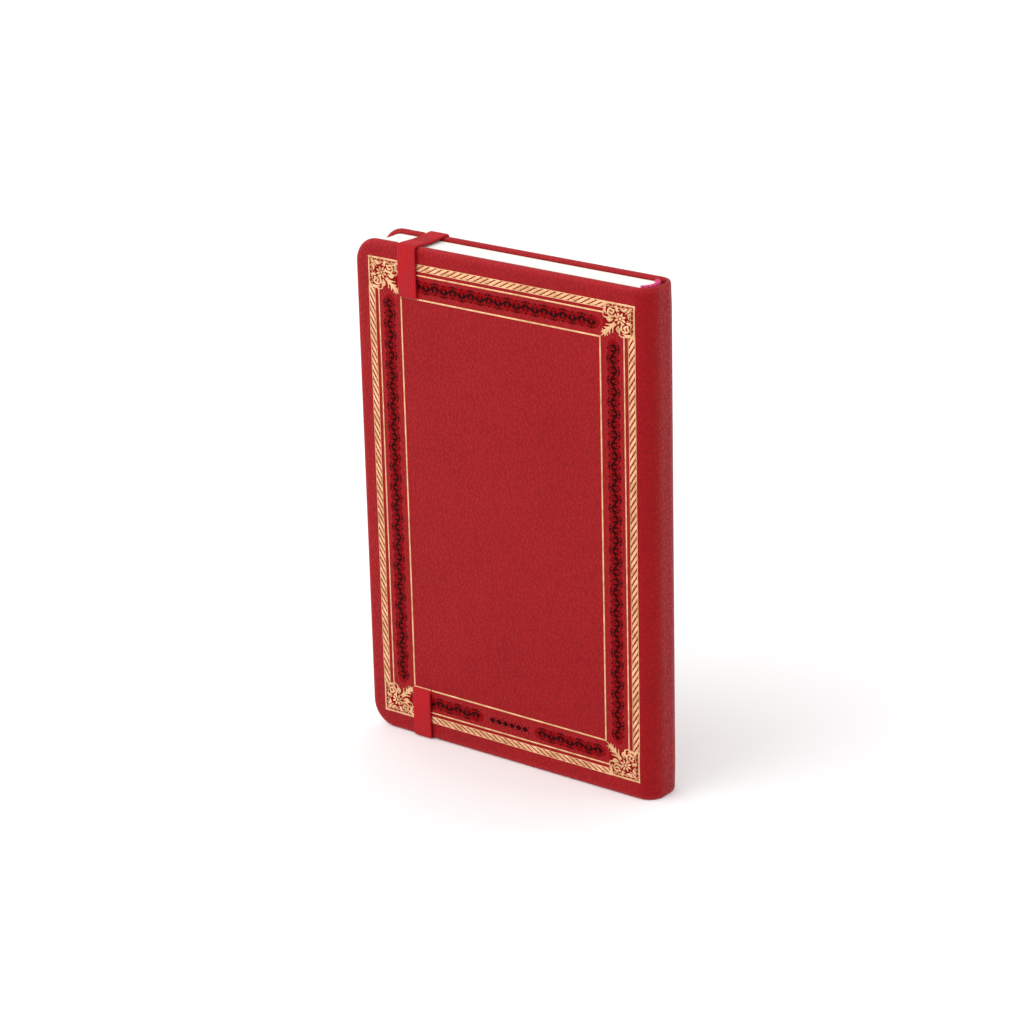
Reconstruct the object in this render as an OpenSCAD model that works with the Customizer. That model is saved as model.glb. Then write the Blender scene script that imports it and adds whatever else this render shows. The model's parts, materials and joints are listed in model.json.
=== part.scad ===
// Pocket notebook in a leather case binding, with sewn sections and an elastic closure.
// The closed book stands on its tail. X runs from the fore edge (-) to the spine (+),
// Y from the back cover (-) to the front cover (+) and Z from tail to head.
// The origin is the centre of the closed book's tail.

/* [Book] */
// Height of the covers from tail to head
book_h = 140; // [120:1:170]
// Width from the fore edge to the outside of the spine
book_w = 95; // [85:1:110]
// Thickness over both covers
book_t = 13.6; // [12.6:0.2:17]
// Radius of the covers' corners at the fore edge
corner_r = 7; // [4:0.5:9]
// Radius of the spine's rounding, seen from the head
spine_r = 5.2; // [4.4:0.2:6]

/* [Covers] */
// Thickness of the leather on the outside
leather_t = 0.6; // [0.4:0.1:0.8]
// Thickness of the cover boards
board_t = 1.3; // [1.2:0.1:1.6]
// Thickness of the pared leather turned in over the boards
turn_in_t = 0.3; // [0.2:0.05:0.4]
// Width of the turn-ins inside the covers
turn_in_w = 10; // [6:1:14]
// Thickness of an endpaper
paper_t = 0.15; // [0.1:0.05:0.25]

/* [Text block] */
// Number of sewn sections
section_count = 8; // [4:1:8]
// How far the pages stand back from the covers at the head and tail
square = 1.1; // [1.1:0.1:2]
// How far the pages stand back from the covers at the fore edge
fore_square = 2; // [1:0.5:4]
// Diameter of the headbands
headband_d = 1; // [0.6:0.1:1]

/* [Elastic] */
// Width of the elastic
elastic_w = 6; // [4:0.5:8]
// Thickness of the elastic
elastic_t = 0.9; // [0.6:0.1:1]
// Distance of the elastic from the fore edge
elastic_in = 15; // [9:0.5:20]
// Distance of each slit from the head or tail
slit_in = 14.2; // [10:0.5:20]
// Length of the elastic's glued end inside the cover
glued_l = 18; // [10:1:30]

/* [Hidden] */
$fn = 96;
eps = 0.01;

fore_x = -book_w / 2;
spine_x = book_w / 2;
joint_x = spine_x - spine_r;
half_t = book_t / 2;

joint_gap = 0.06;            // each cover and the spine stop this far from the joint line
board_stop = 2.4;            // the boards stop short of the joint, so that the leather can bend
cover_t = leather_t + board_t + turn_in_t;
paste_in = 4;                // leather left showing round a pastedown
fit_gap = 0.05;              // clearance between pieces that move apart

inner_y = half_t - cover_t - paper_t;        // inside face of a pastedown
leaf_y = inner_y - 2 * fit_gap - paper_t;    // outermost section starts under the flyleaf
pitch = 2 * (leaf_y - fit_gap) / section_count;
section_t = pitch - 1.2 * fit_gap;
leaf_x = fore_x + fore_square;
leaf_r = corner_r - fore_square + 0.5;
turn_x = joint_x - 2.6;                      // the line along which the sections turn
flyleaf_x = turn_x + 0.4;                    // the line along which the flyleaves turn
gutter_l = 5.6;              // the sections thin towards the fold over this length
neck_t = 0.2;                // thickness of a section where it turns

inlay_t = 0.4;
fold_r = 4.9;                // radius of the rounded back of the text block
fold_x = joint_x - 2;        // centre of that rounding
mull_t = 0.3;
kerf_h = 0.7;                // saw cuts in the section backs that take the sewing thread
kerf_d = 0.65;
thread_d = 0.5;
station_in = 12;
station_count = 5;
headcap_t = leather_t;
skirt_t = 0.2;
skirt_h = 6;

press = elastic_t - 0.4;     // how deep the elastic is pressed into the head edges
sink = elastic_t + 0.1;      // how deep it lies in the tail edges, so that the book stands level
ex0 = fore_x + elastic_in;
ex1 = ex0 + elastic_w;
slit_h = elastic_t + 0.3;

SECTIONS = [for (i = [1 : section_count]) str("section_", i)];

// Extrudes a drawing of the cover's face through the thickness from y0 to y1.
module through(y0, y1) {
    translate([0, y1, 0]) rotate([90, 0, 0]) linear_extrude(y1 - y0) children();
}

// Extrudes a plan drawing upwards from z0 to z1.
module upright(z0, z1) {
    translate([0, 0, z0]) linear_extrude(z1 - z0) children();
}

// A rectangle whose two corners on the fore edge are rounded.
module face(x0, x1, z0, z1, r) {
    translate([x0 + r, z0]) square([x1 - x0 - r, z1 - z0]);
    translate([x0, z0 + r]) square([r + eps, z1 - z0 - 2 * r]);
    for (z = [z0 + r, z1 - r]) translate([x0 + r, z]) circle(r);
}

// Shallow notches that the elastic is pressed into at the head and tail of a cover.
module elastic_notches(y0, y1) {
    w = elastic_w + 4 * fit_gap;
    translate([ex0 - 2 * fit_gap, y0, -1]) cube([w, y1 - y0, 1 + sink]);
    translate([ex0 - 2 * fit_gap, y0, book_h - press]) cube([w, y1 - y0, press + 1]);
}

module slits() {
    for (z = [slit_in, book_h - slit_in])
        translate([ex0 - 2 * fit_gap, -half_t - 1, z - slit_h / 2])
            cube([elastic_w + 4 * fit_gap, cover_t + 1, slit_h]);
}

// Pockets in the back board's inside face for the glued ends of the elastic.
module glue_pockets() {
    y = -half_t + leather_t + board_t - elastic_t;
    w = elastic_w + 4 * fit_gap;
    translate([ex0 - 2 * fit_gap, y, slit_in]) cube([w, elastic_t + 1, glued_l + slit_h]);
    translate([ex0 - 2 * fit_gap, y, book_h - slit_in - glued_l - slit_h])
        cube([w, elastic_t + 1, glued_l + slit_h]);
}

// A cover board on the back (-Y) side, cut 0.6 mm smaller than the covered board.
module board() {
    difference() {
        through(-half_t + leather_t, -half_t + leather_t + board_t)
            face(fore_x + leather_t, joint_x - board_stop, leather_t, book_h - leather_t,
                 corner_r - leather_t);
        elastic_notches(-half_t - 1, 0);
    }
}

// The cover's leather on the back (-Y) side, with the turn-ins folded over the board.
module cover_leather() {
    y0 = -half_t;
    difference() {
        through(y0, y0 + cover_t)
            face(fore_x, joint_x - joint_gap, 0, book_h, corner_r);
        through(y0 + leather_t, y0 + leather_t + board_t)
            face(fore_x + leather_t, joint_x + 1, leather_t, book_h - leather_t,
                 corner_r - leather_t);
        through(y0 + leather_t + board_t - eps, y0 + cover_t + 1)
            face(fore_x + turn_in_w, joint_x + 1, turn_in_w, book_h - turn_in_w, 1);
        elastic_notches(-half_t - 1, 0);
    }
}

// The endpaper glued to a board. Its middle fills the space between the turn-ins.
module pastedown() {
    y = -half_t + leather_t + board_t;
    x1 = joint_x - board_stop;
    through(y + turn_in_t, y + turn_in_t + paper_t)
        face(fore_x + paste_in, x1, paste_in, book_h - paste_in, corner_r - 3);
    through(y + eps, y + turn_in_t + eps)
        face(fore_x + turn_in_w + eps, x1, turn_in_w + eps, book_h - turn_in_w - eps, 1);
}

module back_board() {
    color("#b9a27e") difference() {
        board();
        slits();
        glue_pockets();
    }
}

module back_leather() {
    color("#a3202b") difference() {
        cover_leather();
        slits();
    }
}

module back_pastedown() { color("#f2ead8") pastedown(); }
module front_board() { color("#b9a27e") mirror([0, 1, 0]) board(); }
module front_leather() { color("#a3202b") mirror([0, 1, 0]) cover_leather(); }
module front_pastedown() { color("#f2ead8") mirror([0, 1, 0]) pastedown(); }

// Side view of one end of the elastic: outside run, slit and glued tail. top_z is where it
// meets the loop, and the drawing is for the head end.
module elastic_end_profile(top_z, slit_z) {
    inner = half_t - leather_t - board_t;
    translate([-half_t - elastic_t, slit_z - elastic_t / 2])
        square([elastic_t, top_z - slit_z + elastic_t / 2]);
    translate([-half_t - elastic_t, slit_z - elastic_t / 2])
        square([half_t - inner + elastic_t, elastic_t]);
    translate([-inner - elastic_t, slit_z - glued_l])
        square([elastic_t - eps, glued_l]);
}

module across_elastic() {
    translate([ex0, 0, 0]) rotate([90, 0, 90]) linear_extrude(elastic_w) children();
}

module elastic_end_top() {
    color("#c4303c") across_elastic()
        elastic_end_profile(book_h - press, book_h - slit_in);
}

module elastic_end_bottom() {
    color("#c4303c") translate([0, 0, book_h]) mirror([0, 0, 1]) across_elastic()
        elastic_end_profile(book_h - sink + fit_gap, book_h - slit_in);
}

// Outer quarter of a bend in the elastic round an edge of the covers.
module elastic_bend(y, z, sy, sz) {
    translate([y, z]) intersection() {
        circle(elastic_t);
        translate([sy > 0 ? 0 : -2, sz > 0 ? 0 : -2]) square(2);
    }
}

// The part of the elastic that is pulled off the front cover: head run, front run and tail run.
module elastic_loop() {
    top = book_h - press;
    low = sink - fit_gap;
    color("#c4303c") across_elastic() {
        translate([-half_t, top]) square([book_t, elastic_t]);
        translate([-half_t, low - elastic_t]) square([book_t, elastic_t]);
        translate([half_t, low]) square([elastic_t, top - low]);
        elastic_bend(-half_t, top, -1, 1);
        elastic_bend(half_t, top, 1, 1);
        elastic_bend(-half_t, low, -1, -1);
        elastic_bend(half_t, low, 1, -1);
    }
}

// Plan of the rounded spine, drawn in from its outside by the given distance.
module spine_plan(inset) {
    r = spine_r - inset;
    y = half_t - spine_r;
    x0 = joint_x + joint_gap;
    intersection() {
        union() {
            for (s = [-1, 1]) translate([joint_x, s * y]) circle(r);
            translate([x0 - 1, -y]) square([r + joint_x - x0 + 1, 2 * y]);
            translate([x0 - 1, -y - r]) square([joint_x - x0 + 1 + eps, 2 * (y + r)]);
        }
        translate([x0, -half_t - 1]) square([spine_r + 1, book_t + 2]);
    }
}

module spine_leather() {
    in1 = leather_t + inlay_t;
    in2 = in1 + turn_in_t;
    color("#98202b") difference() {
        upright(0, book_h) spine_plan(0);
        upright(-1, book_h + 1) spine_plan(in2);
        upright(turn_in_w, book_h - turn_in_w) spine_plan(in1);
        difference() {
            upright(headcap_t, book_h - headcap_t) spine_plan(leather_t);
            upright(headcap_t - 1, book_h - headcap_t + 1) spine_plan(in1);
        }
    }
}

module spine_inlay() {
    color("#b9a27e") difference() {
        upright(headcap_t + fit_gap, book_h - headcap_t - fit_gap) spine_plan(leather_t);
        upright(0, book_h) spine_plan(leather_t + inlay_t);
    }
}

// Plan of a ring round the backs of the sections, cut off at the sides of the text block.
module back_ring(r0, r1) {
    intersection() {
        difference() {
            translate([fold_x, 0]) circle(r1);
            translate([fold_x, 0]) circle(r0);
        }
        translate([fold_x, -leaf_y]) square([r1 + 1, 2 * leaf_y]);
    }
}

module spine_mull() {
    low = square + skirt_h + fit_gap;
    color("#d8cdb4") upright(low, book_h - low) back_ring(fold_r + 0.02, fold_r + mull_t);
}

// The folded backs of the sections, held by the sewing and the glue.
module section_folds() {
    x0 = turn_x + neck_t / 2 + 0.15;
    color("#f5f1e6") difference() {
        upright(square, book_h - square) intersection() {
            for (i = [1 : section_count])
                translate([x0, section_y(i) - section_t / 2]) square([20, section_t]);
            translate([fold_x, 0]) circle(fold_r);
        }
        for (z = stations()) upright(z - kerf_h / 2, z + kerf_h / 2)
            back_ring(fold_r - kerf_d, fold_r + 1);
    }
}

function stations() = [for (i = [0 : station_count - 1])
    station_in + i * (book_h - 2 * station_in) / (station_count - 1)];

// One arc of a ring round the backs of the sections, as wide as the text block.
module back_arc(ring_r, d) {
    a = asin(leaf_y / fold_r) - 3;
    translate([fold_x, 0, 0]) rotate([0, 0, -a])
        rotate_extrude(angle = 2 * a) translate([ring_r, 0]) circle(d / 2, $fn = 24);
}

module sewing_thread() {
    color("#e9e2cf") for (z = stations())
        translate([0, 0, z]) back_arc(fold_r - kerf_d / 2, thread_d);
}

// Wound bead on top of the section backs, with the cloth skirt that it is sewn to. Head end.
module headband() {
    z = book_h - square + headband_d / 2 + 0.02;
    bead_r = fold_r + skirt_t - headband_d / 2;
    translate([0, 0, z]) back_arc(bead_r, headband_d);
    upright(book_h - square - skirt_h, z) back_ring(fold_r + 0.02, fold_r + skirt_t);
}

module headband_top() { color("#d8306a") headband(); }
module headband_bottom() {
    color("#d8306a") translate([0, 0, book_h]) mirror([0, 0, 1]) headband();
}

function section_y(i) = leaf_y - fit_gap - (i - 0.5) * pitch;

// Leaves of the given thickness at height y, turning about a vertical line at x. They thin to
// neck over the gutter, where the fold pinches them.
module leaves(x, y, t, neck) {
    h = t / 2;
    n = neck / 2;
    intersection() {
        upright(square, book_h - square) translate([0, y]) {
            polygon([[leaf_x - 1, -h], [x - gutter_l, -h], [x, -n],
                     [x, n], [x - gutter_l, h], [leaf_x - 1, h]]);
            translate([x, 0]) circle(n);
        }
        through(y - t, y + t)
            face(leaf_x, x + t + 1, square, book_h - square, leaf_r);
    }
}

// Section 1 lies next to the front cover.
module section(i) {
    color(i % 2 == 0 ? "#f7f3e8" : "#efe9da")
        leaves(turn_x, section_y(i), section_t, neck_t);
}

module flyleaf() {
    leaves(flyleaf_x, leaf_y + paper_t / 2, paper_t, paper_t);
}

module front_flyleaf() { color("#fbf8ef") flyleaf(); }
module back_flyleaf() { color("#fbf8ef") mirror([0, 1, 0]) flyleaf(); }

back_board();
back_leather();
back_pastedown();
elastic_end_top();
elastic_end_bottom();
elastic_loop();
front_board();
front_leather();
front_pastedown();
spine_leather();
spine_inlay();
spine_mull();
section_folds();
sewing_thread();
headband_top();
headband_bottom();
front_flyleaf();
back_flyleaf();
for (i = [1 : section_count]) section(i);
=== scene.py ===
import json
import math
import random

import bpy
import numpy as np
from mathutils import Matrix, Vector, noise


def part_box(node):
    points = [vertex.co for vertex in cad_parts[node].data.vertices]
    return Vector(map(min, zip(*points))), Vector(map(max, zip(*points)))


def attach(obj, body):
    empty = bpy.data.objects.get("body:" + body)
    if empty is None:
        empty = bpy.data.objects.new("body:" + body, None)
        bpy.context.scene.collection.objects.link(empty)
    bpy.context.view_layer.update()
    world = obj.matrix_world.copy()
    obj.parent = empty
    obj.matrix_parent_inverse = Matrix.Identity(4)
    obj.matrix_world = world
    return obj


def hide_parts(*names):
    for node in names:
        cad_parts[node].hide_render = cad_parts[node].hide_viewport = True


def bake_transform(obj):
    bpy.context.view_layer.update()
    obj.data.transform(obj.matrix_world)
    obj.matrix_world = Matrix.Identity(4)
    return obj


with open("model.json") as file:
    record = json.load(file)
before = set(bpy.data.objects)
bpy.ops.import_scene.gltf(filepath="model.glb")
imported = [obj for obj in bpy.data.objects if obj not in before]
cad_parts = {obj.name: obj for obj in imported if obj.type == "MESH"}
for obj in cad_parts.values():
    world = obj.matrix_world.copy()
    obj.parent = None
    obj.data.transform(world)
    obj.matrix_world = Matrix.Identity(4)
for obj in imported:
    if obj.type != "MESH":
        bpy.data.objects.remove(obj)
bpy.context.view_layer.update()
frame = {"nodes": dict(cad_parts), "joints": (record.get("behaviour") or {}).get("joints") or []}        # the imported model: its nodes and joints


# ---------------------------------------------------------------- Sewn sections
# Eight sections of folded writing paper. Each is built leaf by leaf, with cut edges that don't
# quite line up, and closer columns near the fold, where the sewing and the glue hold it to the spine.
# Y runs from the back cover to the front cover, X from fore edge to spine, Z from tail to head.

MM = 0.001
joint = {j["name"]: j for j in frame["joints"]}
joint_x = joint["front_hinge"]["pos_m"][0]
page_low, page_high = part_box("section_4")
page_x0, page_z0, page_z1 = page_low.x, page_low.z, page_high.z
page_r = 5.5 * MM
back_x = joint_x - 2.0 * MM
back_r = 4.9 * MM
sections_n = 8
leaves_n = 10                # fewer and thicker than in a real section
bend_from = joint_x - 11.0 * MM      # a leaf has closer columns from here to the fold
random.seed(11)


def add(tree, kind, links=None, **settings):
    """A node with its settings and, by socket name or number, its links and values."""
    node = tree.nodes.new(kind)
    for key, value in settings.items():
        setattr(node, key, value)
    for key, value in (links or {}).items():
        if isinstance(value, bpy.types.NodeSocket):
            tree.links.new(value, node.inputs[key])
        else:
            node.inputs[key].default_value = value
    return node


def math_node(tree, operation, a, b=0.0, clamp=False):
    """One sum, product or other operation on two values, as a socket."""
    node = add(tree, "ShaderNodeMath", {0: a, 1: b}, operation=operation, use_clamp=clamp)
    return node.outputs[0]


def mix_colour(tree, factor, a, b):
    """A colour between a and b, as a socket."""
    node = add(tree, "ShaderNodeMix", data_type="RGBA", blend_type="MIX")
    for key, value in (("Factor", factor), ("A", a), ("B", b)):
        socket = [s for s in node.inputs if s.name == key and s.enabled][0]
        if isinstance(value, bpy.types.NodeSocket):
            tree.links.new(value, socket)
        else:
            socket.default_value = value
    return [s for s in node.outputs if s.enabled][0]


def rest_point(tree):
    """Each point's own place on the closed book in millimetres, kept when a piece bends."""
    return add(tree, "ShaderNodeAttribute", attribute_name="rest").outputs["Vector"]


def new_material(name):
    """A material with a Principled shader. Returns the material, its tree and the shader."""
    made = bpy.data.materials.new(name)
    made.use_nodes = True
    tree = made.node_tree
    return made, tree, tree.nodes["Principled BSDF"]


def noise_value(tree, vector, scale, detail=2.0, rough=0.5):
    """Soft noise from 0 to 1, as a socket."""
    return add(tree, "ShaderNodeTexNoise", {"Vector": vector, "Scale": scale, "Detail": detail,
                                            "Roughness": rough}).outputs["Fac"]


def roughen(tree, shader, low, value, share):
    """Roughness that rises from low by a share of a value."""
    rise = math_node(tree, "MULTIPLY", value, share)
    tree.links.new(math_node(tree, "ADD", low, rise), shader.inputs["Roughness"])


def emboss(tree, shader, height, strength, distance):
    """Small relief on a surface, from a height between 0 and 1 and a distance in metres."""
    bump = add(tree, "ShaderNodeBump", {"Height": height, "Strength": strength,
                                        "Distance": distance})
    tree.links.new(bump.outputs["Normal"], shader.inputs["Normal"])


def paper_material(name, light, dark, scale):
    """Uncoated paper with short fibres and a trace of tooth."""
    made, tree, shader = new_material(name)
    point = rest_point(tree)
    stretched = add(tree, "ShaderNodeVectorMath", {0: point, 1: (1.0, 1.0, 0.35)},
                    operation="MULTIPLY").outputs[0]
    fibre = noise_value(tree, stretched, scale, 6.0, 0.72)
    cloud = noise_value(tree, point, 0.06, 3.0)
    tone = math_node(tree, "ADD", math_node(tree, "MULTIPLY", fibre, 0.6),
                     math_node(tree, "MULTIPLY", cloud, 0.4))
    tree.links.new(mix_colour(tree, tone, dark, light), shader.inputs["Base Color"])
    roughen(tree, shader, 0.72, fibre, 0.2)
    shader.inputs["Specular IOR Level"].default_value = 0.25
    emboss(tree, shader, fibre, 0.25, 0.00005)
    return made


def make_piece(name, points, faces, material, attributes=None, sharp=None):
    """A mesh object from points in metres, smooth shaded, with its rest places stored."""
    mesh = bpy.data.meshes.new(name)
    mesh.from_pydata([tuple(p) for p in points], [], [tuple(f) for f in faces])
    mesh.validate()
    mesh.update()
    rest = mesh.attributes.new("rest", "FLOAT_VECTOR", "POINT")
    rest.data.foreach_set("vector", (np.array(points, np.float32) * 1000).ravel())
    for key, values in (attributes or {}).items():
        layer = mesh.attributes.new(key, "FLOAT", "POINT")
        layer.data.foreach_set("value", np.array(values, np.float32))
    mesh.materials.append(material)
    mesh.shade_smooth()
    if sharp:
        mesh.set_sharp_from_angle(angle=math.radians(sharp))
    obj = bpy.data.objects.new(name, mesh)
    bpy.context.scene.collection.objects.link(obj)
    return obj


def add_leaf(points, faces, y, thick, x1, uneven):
    """One leaf from the fore edge to x1, with its two rounded corners."""
    r, h = page_r, thick / 2
    x0 = page_x0 + random.uniform(0, uneven)
    z0 = page_z0 + random.uniform(0, uneven)
    z1 = page_z1 - random.uniform(0, uneven)
    columns = [(x0 + r * (1 - math.cos(a)), r * (1 - math.sin(a)))
               for a in np.linspace(0, math.pi / 2, 11)]
    columns += [(x, 0.0) for x in np.linspace(x0 + r, bend_from, 12)[1:]]
    columns += [(x, 0.0) for x in np.linspace(bend_from, x1, 24)[1:]]
    first = len(points)
    for x, cut in columns:
        low, high = z0 + cut, z1 - cut
        points += [(x, y - h, low), (x, y - h, high), (x, y + h, high), (x, y + h, low)]
    for i in range(len(columns) - 1):
        a, b = first + 4 * i, first + 4 * i + 4
        faces += [(a + j, a + (j + 1) % 4, b + (j + 1) % 4, b + j) for j in range(4)]
    faces.append((first + 3, first + 2, first + 1, first))
    end = first + 4 * (len(columns) - 1)
    faces.append((end, end + 1, end + 2, end + 3))


PAPER = paper_material("writing_paper", (0.90, 0.895, 0.875, 1), (0.81, 0.80, 0.765, 1), 2.2)
for number in range(1, sections_n + 1):
    name = "section_%d" % number
    low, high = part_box(name)
    pitch = (high.y - low.y) / leaves_n
    points, faces = [], []
    for k in range(leaves_n):
        y = low.y + pitch * (k + 0.5)
        reach = back_x + math.sqrt(back_r ** 2 - y ** 2) - 0.05 * MM
        add_leaf(points, faces, y, pitch * 0.9, reach, 0.07 * MM)
    leaves = make_piece(name + "_leaves", points, faces, PAPER, sharp=30)
    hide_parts(*([name, "section_folds"] if number == 1 else [name]))
    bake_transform(leaves)


# ---------------------------------------------------------------- Spine lining and sewing thread
# An open-weave lining cloth is glued over the backs of the sections, and linen thread passes
# through their folds at five stations. Both lie hidden between the folds and the spine card.

def inner_material(name, light, dark, scale, weave=0.0):
    """A dull material with fibres, and a woven check where weave is above 0."""
    made, tree, shader = new_material(name)
    place = add(tree, "ShaderNodeTexCoord").outputs["Object"]
    point = add(tree, "ShaderNodeVectorMath", {0: place, 1: (1000, 1000, 1000)},
                operation="MULTIPLY").outputs[0]
    fibre = noise_value(tree, point, scale, 6.0, 0.7)
    tone = fibre
    if weave:
        check = add(tree, "ShaderNodeTexChecker", {"Vector": point, "Scale": weave})
        tone = math_node(tree, "ADD", math_node(tree, "MULTIPLY", fibre, 0.5),
                         math_node(tree, "MULTIPLY", check.outputs["Fac"], 0.5))
    tree.links.new(mix_colour(tree, tone, dark, light), shader.inputs["Base Color"])
    roughen(tree, shader, 0.7, fibre, 0.25)
    emboss(tree, shader, tone, 0.5, 0.00012)
    return made


MULL = inner_material("lining_cloth", (0.72, 0.66, 0.52, 1), (0.42, 0.36, 0.25, 1), 3.0, 1.6)
THREAD = inner_material("linen_thread", (0.86, 0.81, 0.68, 1), (0.62, 0.55, 0.40, 1), 6.0, 3.0)
for node, material, slot in (("spine_mull", MULL, "mull"), ("sewing_thread", THREAD, "thread")):
    piece = frame["nodes"][node]
    piece.data.materials.clear()
    piece.data.materials.append(material)


# ---------------------------------------------------------------- Headbands
# Silk wound over a cord core and sewn across the backs of the sections at head and tail.
# A skirt of the same silk runs down behind the folds and is glued under the lining.

band_d = 1.04 * MM
bead_w = 1.5 * MM
bead_r = back_r + 0.2 * MM - bead_w / 2
bead_a = math.asin(4.2 / 4.9) - math.radians(3)      # half the bead's arc
skirt_l = 6.0 * MM


def silk_material():
    """Glossy magenta silk with a dark violet turn here and there."""
    made, tree, shader = new_material("wound_silk")
    point = rest_point(tree)
    stripe = add(tree, "ShaderNodeAttribute", attribute_name="stripe").outputs["Fac"]
    fibre = noise_value(tree, point, 9.0, 3.0, 0.6)
    silk = mix_colour(tree, stripe, (0.74, 0.014, 0.145, 1), (0.07, 0.006, 0.10, 1))
    silk = mix_colour(tree, math_node(tree, "MULTIPLY", fibre, 0.3), silk, (0.42, 0.008, 0.08, 1))
    tree.links.new(silk, shader.inputs["Base Color"])
    roughen(tree, shader, 0.32, fibre, 0.2)
    emboss(tree, shader, fibre, 0.4, 0.00005)
    return made


SILK = silk_material()


def headband(name, z, up):
    """A bead of wound silk with its skirt, which runs down behind the sections."""
    turns, around, per_turn = 34, 14, 6
    points, faces, stripe = [], [], []
    rings = turns * per_turn + 1
    for i in range(rings):
        u = i / (rings - 1)
        a = -bead_a + 2 * bead_a * u
        swell = 0.9 + 0.1 * abs(math.sin(math.pi * turns * u))
        tint = 1.0 if int(turns * u) % 5 == 2 else 0.0
        for k in range(around):
            b = 2 * math.pi * k / around
            r = bead_r + swell * bead_w / 2 * math.cos(b)
            points.append((back_x + r * math.cos(a), r * math.sin(a),
                           z + swell * band_d / 2 * math.sin(b)))
            stripe.append(tint)
    faces = [(i * around + k, (i + 1) * around + k, (i + 1) * around + (k + 1) % around,
              i * around + (k + 1) % around) for i in range(rings - 1) for k in range(around)]
    last = (rings - 1) * around
    faces += [tuple(range(around)), tuple(range(last + around - 1, last - 1, -1))]
    first, steps = len(points), 24
    inner, outer = back_r + 0.06 * MM, back_r + 0.18 * MM
    for i in range(steps + 1):
        a = -bead_a + 2 * bead_a * i / steps
        for r, drop in ((inner, 0), (inner, skirt_l), (outer, skirt_l), (outer, 0)):
            points.append((back_x + r * math.cos(a), r * math.sin(a), z - up * drop))
            stripe.append(0.1)
    for i in range(steps):
        a, b = first + 4 * i, first + 4 * i + 4
        faces += [(a + j, a + (j + 1) % 4, b + (j + 1) % 4, b + j) for j in range(4)]
    made = make_piece(name + "_silk", points, faces, SILK, {"stripe": stripe}, sharp=60)
    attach(made, "text_block")
    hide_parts(name)


headband("headband_top", page_z1 + band_d / 2 + 0.02 * MM, 1)
headband("headband_bottom", page_z0 - band_d / 2 - 0.02 * MM, -1)


# ---------------------------------------------------------------- Boards and spine card
# A millboard stiffens each cover, with dents in its edges where the elastic crosses. A strip
# of the same board, cut thin, keeps the spine flat inside the leather.

cover_low, cover_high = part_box("back_leather")
spine_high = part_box("spine_leather")[1]
elastic_low, elastic_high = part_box("elastic_loop")
elastic_t = 0.9 * MM
book_h = cover_high.z
half_t = spine_high.y
fore_x = cover_low.x
spine_x = spine_high.x
cover_t = cover_high.y - cover_low.y
corner_r = 7.0 * MM
head_press = book_h - (elastic_high.z - elastic_t)
tail_press = elastic_low.z + elastic_t + 0.05 * MM
notch_wider = 0.7 * MM       # a dent runs this far past the elastic
notch_slope = 0.6 * MM       # width of a dent's sloping sides
notch_reach = 3.0 * MM       # a dent fades out this far from the edge


def ease(t):
    """Smooth step from 0 to 1."""
    t = np.clip(t, 0.0, 1.0)
    return t * t * (3 - 2 * t)


def cover_path(inset):
    """Points from the joint along the tail, the fore edge and the head back to the joint."""
    run_n, arc_n, fore_n = 64, 14, 80
    r = max(corner_r - inset, 0.4 * MM)
    cx, low, high = fore_x + inset + r, inset + r, book_h - inset - r
    tail = [(x, inset) for x in np.linspace(joint_x, cx, run_n)]
    turns = [math.pi / 2 * i / arc_n for i in range(1, arc_n)]
    first = [(cx - r * math.sin(a), low - r * math.cos(a)) for a in turns]
    fore = [(fore_x + inset, z) for z in np.linspace(low, high, fore_n)]
    second = [(cx - r * math.cos(a), high + r * math.sin(a)) for a in turns]
    head = [(x, book_h - inset) for x in np.linspace(cx, joint_x, run_n)]
    return np.array(tail + first + fore + second + head)


def press_notches(x, z):
    """Heights z with the dents that the elastic leaves in a cover's head and tail edges."""
    side = ease((x - elastic_low.x + notch_wider) / notch_slope)
    side = side * ease((elastic_high.x + notch_wider - x) / notch_slope)
    near_head = ease((z - book_h + notch_reach) / notch_reach)
    near_tail = ease((notch_reach - z) / notch_reach)
    return z - side * near_head * head_press + side * near_tail * tail_press


def millboard(cover, side):
    """The board inside a cover, with the same dents as its leather under the elastic."""
    edge, end = 1.0 * MM, joint_x - 2.4 * MM
    path = [(x, z) for x, z in cover_path(edge) if x < end]
    path = np.array([(end, edge)] + path + [(end, book_h - edge)])
    n = len(path)
    pressed = press_notches(path[:, 0], path[:, 1])
    points = []
    for depth in (0.65 * MM, 1.85 * MM):
        points += [(x, side * (half_t - depth), z) for x, z in zip(path[:, 0], pressed)]
    faces = [(i, (i + 1) % n, n + (i + 1) % n, n + i) for i in range(n)]
    for base in (0, n):
        caps = [(base + i, base + i + 1, base + n - 2 - i, base + n - 1 - i) for i in range(n // 2)
                if i + 1 < n - 2 - i]
        faces += caps if base else [tuple(reversed(f)) for f in caps]
    if side > 0:
        faces = [tuple(reversed(f)) for f in faces]
    name = cover.replace("_cover", "_board")
    board = make_piece(name + "_slab", points, faces, BOARD, sharp=30)
    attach(board, cover)
    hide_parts(name)


BOARD = inner_material("millboard", (0.47, 0.37, 0.25, 1), (0.27, 0.20, 0.12, 1), 1.6)
for cover, side in (("back_cover", -1), ("front_cover", 1)):
    millboard(cover, side)

card = frame["nodes"]["spine_inlay"]
card.data.materials.clear()
card.data.materials.append(BOARD)


# ---------------------------------------------------------------- Leather
# One goatskin hide, dyed through in red, covers both boards and the spine. It is pared thin,
# drawn round the rounded board edges and turned in by 10 mm. The hide is built as two halves
# that meet along the middle of the spine.

spine_r = spine_x - joint_x
CROWN = 0.15 * MM            # how far the leather falls away towards the edges of a board
CROWN_W = 8.0 * MM
turn_in_w = 10.0 * MM


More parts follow.
